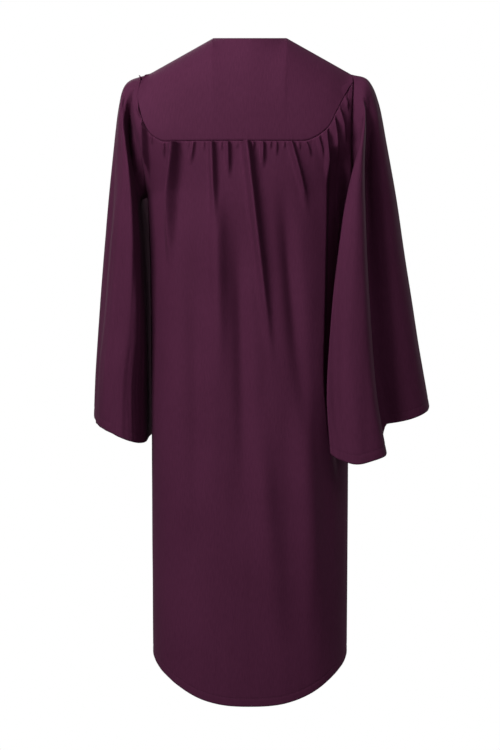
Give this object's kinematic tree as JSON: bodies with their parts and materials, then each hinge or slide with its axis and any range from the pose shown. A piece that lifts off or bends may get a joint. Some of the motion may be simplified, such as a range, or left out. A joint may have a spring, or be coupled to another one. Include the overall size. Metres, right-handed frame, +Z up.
{
  "type": "graduation gown",
  "caption": "Full-length graduation gown with a plain yoke, gathered back, bell sleeves and a front zip, filled out as worn and hollow.",
  "frame": {"origin": "midway between the two neck points of the shoulders, where the wearer's shoulders hold the gown up", "axes": "+Z up, the wearer faces -Y, +X is the wearer's left"},
  "size_m": [0.6543, 0.3523, 1.274],
  "materials": {
    "gown_cloth": "matte wine-coloured polyester weave",
    "zip_tape": "matte woven tape",
    "zip_enamel": "satin enamel"
  },
  "bodies": {
    "gown": {"back_yoke": "gown_cloth", "back_panel": "gown_cloth", "front_left": "gown_cloth", "front_right": "gown_cloth", "sleeve_left": "gown_cloth", "sleeve_right": "gown_cloth", "zip_tape_left": "zip_tape", "zip_tape_right": "zip_tape", "zip_slider": "zip_enamel"},
    "pull_tab": {"zip_pull": "zip_enamel"}
  },
  "joints": [
    {"name": "pull_hinge", "type": "hinge", "parent": "gown", "child": "pull_tab", "pos_m": [0, -0.11074, -0.13936], "axis": [-1, 0, 0], "range_deg": [0, 165]}
  ]
}
